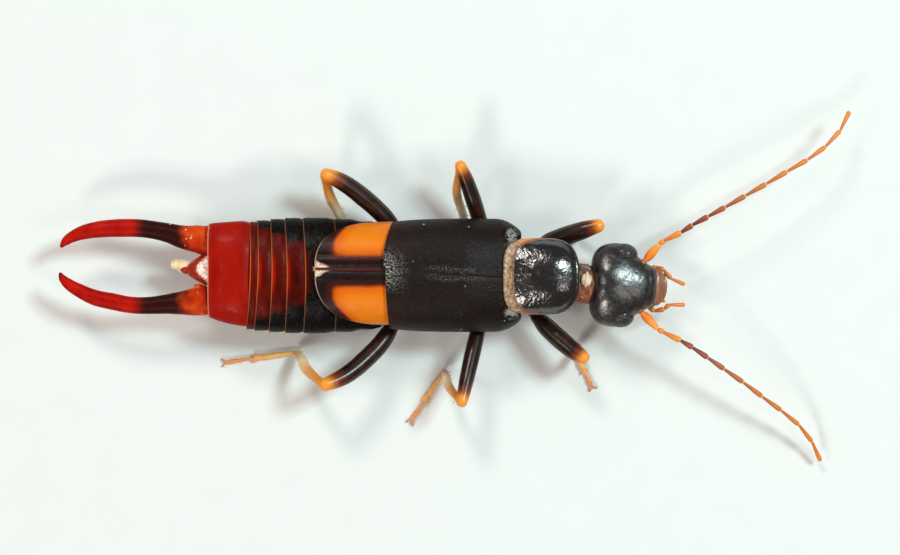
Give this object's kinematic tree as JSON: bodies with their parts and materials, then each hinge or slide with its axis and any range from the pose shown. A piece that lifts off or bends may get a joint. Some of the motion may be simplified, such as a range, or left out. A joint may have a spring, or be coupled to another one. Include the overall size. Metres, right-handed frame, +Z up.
{
  "type": "earwig",
  "caption": "Winged earwig standing still with spread feelers, black wing covers, orange wing tips, a ringed red abdomen and a pair of curved red forceps.",
  "frame": {"origin": "middle of the footprint at floor level, where the soles of the feet rest", "axes": "+X towards the head, +Y towards the animal's left side, +Z up"},
  "size_m": [0.0236, 0.0104, 0.0027],
  "materials": {
    "abdomen_red": "dark red rings, black towards the sides and the front",
    "cuticle_black": "finely grained black cuticle with a soft sheen",
    "eye_black": "black faceted eye",
    "feeler_orange": "orange and brown feeler segments",
    "femur_brown": "glossy black-brown with orange ends",
    "forceps_red": "glossy red with a dark band",
    "leg_orange": "orange and cream cuticle",
    "mouth_brown": "reddish brown mouthparts",
    "neck_skin": "cream and red-brown skin",
    "plate_red": "glossy bright red",
    "wing_cover_black": "matt black-brown leathery wing cover",
    "wing_tip_orange": "orange patch edged in black-brown"
  },
  "bodies": {
    "root": {"abdomen": "abdomen_red", "eye_left": "eye_black", "eye_right": "eye_black", "feeler_left": "feeler_orange", "feeler_right": "feeler_orange", "foot_front_left": "leg_orange", "foot_front_right": "leg_orange", "foot_hind_left": "leg_orange", "foot_hind_right": "leg_orange", "foot_mid_left": "leg_orange", "foot_mid_right": "leg_orange", "forceps_left": "forceps_red", "forceps_right": "forceps_red", "head": "cuticle_black", "jaw_left": "mouth_brown", "jaw_right": "mouth_brown", "labrum": "mouth_brown", "last_plate": "plate_red", "lower_lip": "mouth_brown", "neck": "neck_skin", "palp_left": "feeler_orange", "palp_right": "feeler_orange", "pronotum": "cuticle_black", "prothorax": "cuticle_black", "pygidium": "plate_red", "pygidium_tip": "neck_skin", "shin_front_left": "leg_orange", "shin_front_right": "leg_orange", "shin_hind_left": "leg_orange", "shin_hind_right": "leg_orange", "shin_mid_left": "leg_orange", "shin_mid_right": "leg_orange", "thigh_front_left": "femur_brown", "thigh_front_right": "femur_brown", "thigh_hind_left": "femur_brown", "thigh_hind_right": "femur_brown", "thigh_mid_left": "femur_brown", "thigh_mid_right": "femur_brown", "thorax": "cuticle_black", "wing_cover_left": "wing_cover_black", "wing_cover_right": "wing_cover_black", "wing_tip_left": "wing_tip_orange", "wing_tip_right": "wing_tip_orange"}
  },
  "joints": []
}
